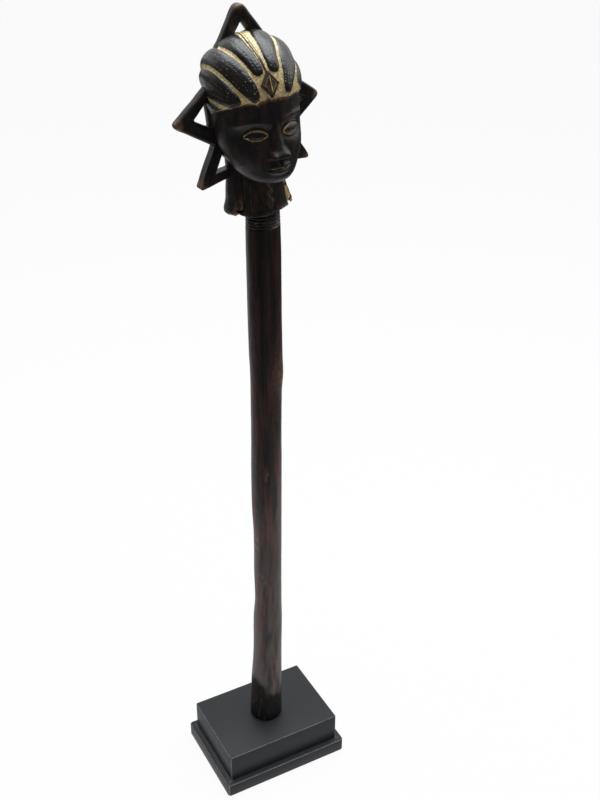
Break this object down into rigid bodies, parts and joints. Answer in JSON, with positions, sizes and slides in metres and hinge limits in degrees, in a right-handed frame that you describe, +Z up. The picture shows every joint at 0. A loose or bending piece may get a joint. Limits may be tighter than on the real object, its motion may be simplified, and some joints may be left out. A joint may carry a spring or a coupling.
{
  "type": "staff of office on display stand",
  "caption": "Carved dark wooden staff with a head, ribbed hair and an openwork star, lifted on and off the steel peg of a black two-tier stand.",
  "frame": {"origin": "middle of the stand's underside, where the felt meets the table", "axes": "+Z up along the staff, the carved face looks along -Y, +X along the stand's long side"},
  "size_m": [0.132, 0.097, 0.7478],
  "materials": {
    "carved_wood": "hand-polished dark hardwood with light clay in the cuts",
    "painted_wood": "satin black paint",
    "felt": "black felt",
    "steel": "plain bright steel"
  },
  "bodies": {
    "stand": {"felt_pad": "felt", "base_plate": "painted_wood", "base_block": "painted_wood", "stand_peg": "steel", "peg_washer": "steel", "peg_nut": "steel", "tier_screw_1": "steel", "tier_screw_2": "steel", "tier_screw_3": "steel", "tier_screw_4": "steel"},
    "staff": {"staff": "carved_wood"}
  },
  "joints": [
    {"name": "staff_lift", "type": "slide", "parent": "stand", "child": "staff", "axis": [0, 0, 1], "range_m": [0, 0.06]}
  ]
}
